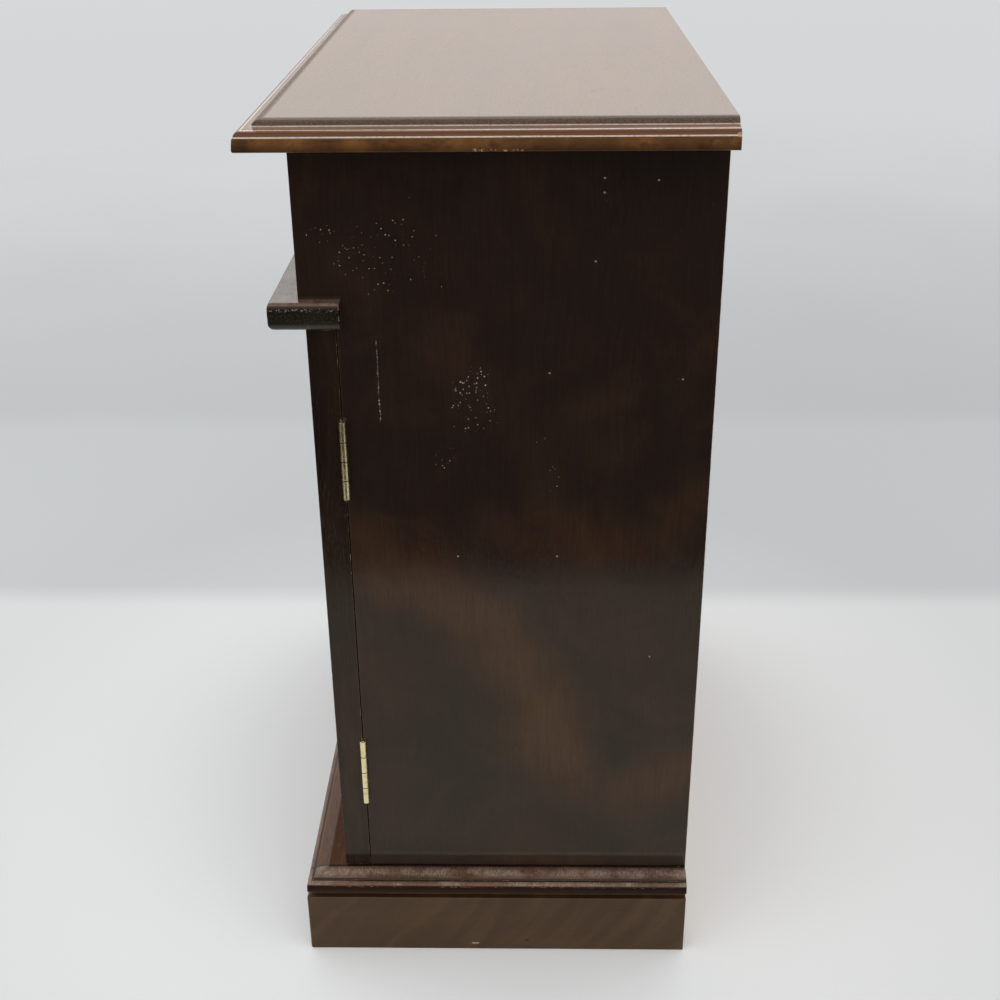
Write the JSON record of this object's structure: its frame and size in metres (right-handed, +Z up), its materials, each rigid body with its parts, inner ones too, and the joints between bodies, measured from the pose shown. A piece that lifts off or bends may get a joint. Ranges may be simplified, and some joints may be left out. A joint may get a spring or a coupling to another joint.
{
  "type": "desktop cabinet with doors",
  "caption": "Small dark-stained desktop cabinet with a moulded top, a frieze drawer over a rounded waist shelf, panelled doors on brass butt hinges and a moulded plinth base.",
  "frame": {"origin": "middle of the overall footprint, on the surface the plinth stands on", "axes": "+X is the cabinet's right side seen from the front, -Y points out of the doors, +Z is up"},
  "size_m": [0.349, 0.199, 0.4349],
  "materials": {
    "polished_top": "clear-polished mahogany veneer, worn at the moulded edge",
    "case_veneer": "dark mahogany-stained veneer, polished",
    "moulding": "mahogany-stained solid wood, polished, rubbed along the edges",
    "plinth_wood": "mahogany-stained veneer, satin",
    "stained_plywood": "stained plywood, matt",
    "inside_wood": "stained solid wood, satin",
    "plain_wood": "unfinished softwood",
    "drawer_wood": "unfinished light hardwood",
    "drawer_plywood": "plywood, sanded",
    "door_wood": "dark mahogany-stained solid wood, polished",
    "door_panel_veneer": "mahogany-stained fielded panel, polished",
    "brass": "polished brass, slightly tarnished",
    "steel": "zinc-plated steel",
    "catch_plastic": "moulded brown plastic"
  },
  "bodies": {
    "case": {"top_board": "polished_top", "side_panel_right": "case_veneer", "side_panel_left": "case_veneer", "back_panel": "stained_plywood", "waist_shelf": "moulding", "inner_shelf": "inside_wood", "base_board": "moulding", "top_rail_front": "inside_wood", "top_rail_back": "plain_wood", "plinth_front": "plinth_wood", "plinth_right": "plinth_wood", "plinth_left": "plinth_wood", "plinth_back": "plinth_wood", "plinth_corner_blocks": "plain_wood", "drawer_stops": "plain_wood", "top_board_screws": "steel", "base_board_screws": "steel", "back_panel_pins": "steel", "catch_housing": "catch_plastic", "catch_magnets": "steel", "catch_screws": "brass", "upper_right_frame_leaf": "brass", "lower_right_frame_leaf": "brass", "upper_left_frame_leaf": "brass", "lower_left_frame_leaf": "brass", "hinge_pins": "brass", "frame_leaf_screws": "brass"},
    "right_door": {"right_door_hinge_stile": "door_wood", "right_door_meeting_stile": "door_wood", "right_door_top_rail": "door_wood", "right_door_bottom_rail": "door_wood", "right_door_panel": "door_panel_veneer", "right_door_knob": "brass", "right_door_knob_screw": "steel", "right_door_strike_plate": "steel", "upper_right_door_leaf": "brass", "lower_right_door_leaf": "brass", "right_door_screws": "brass"},
    "left_door": {"left_door_hinge_stile": "door_wood", "left_door_meeting_stile": "door_wood", "left_door_top_rail": "door_wood", "left_door_bottom_rail": "door_wood", "left_door_panel": "door_panel_veneer", "left_door_knob": "brass", "left_door_knob_screw": "steel", "left_door_strike_plate": "steel", "upper_left_door_leaf": "brass", "lower_left_door_leaf": "brass", "left_door_screws": "brass"},
    "drawer": {"drawer_front": "door_wood", "drawer_side_right": "drawer_wood", "drawer_side_left": "drawer_wood", "drawer_back": "drawer_wood", "drawer_bottom": "drawer_plywood", "drawer_knob": "brass", "drawer_knob_screw": "steel"}
  },
  "joints": [
    {"name": "right_door_hinge", "type": "hinge", "parent": "case", "child": "right_door", "pos_m": [0.15475, -0.0659, 0.1953], "axis": [0, 0, 1], "range_deg": [0, 180]},
    {"name": "left_door_hinge", "type": "hinge", "parent": "case", "child": "left_door", "pos_m": [-0.15475, -0.0659, 0.1953], "axis": [0, 0, -1], "range_deg": [0, 180]},
    {"name": "drawer_slide", "type": "slide", "parent": "case", "child": "drawer", "axis": [0, -1, 0], "range_m": [0, 0.115]}
  ]
}
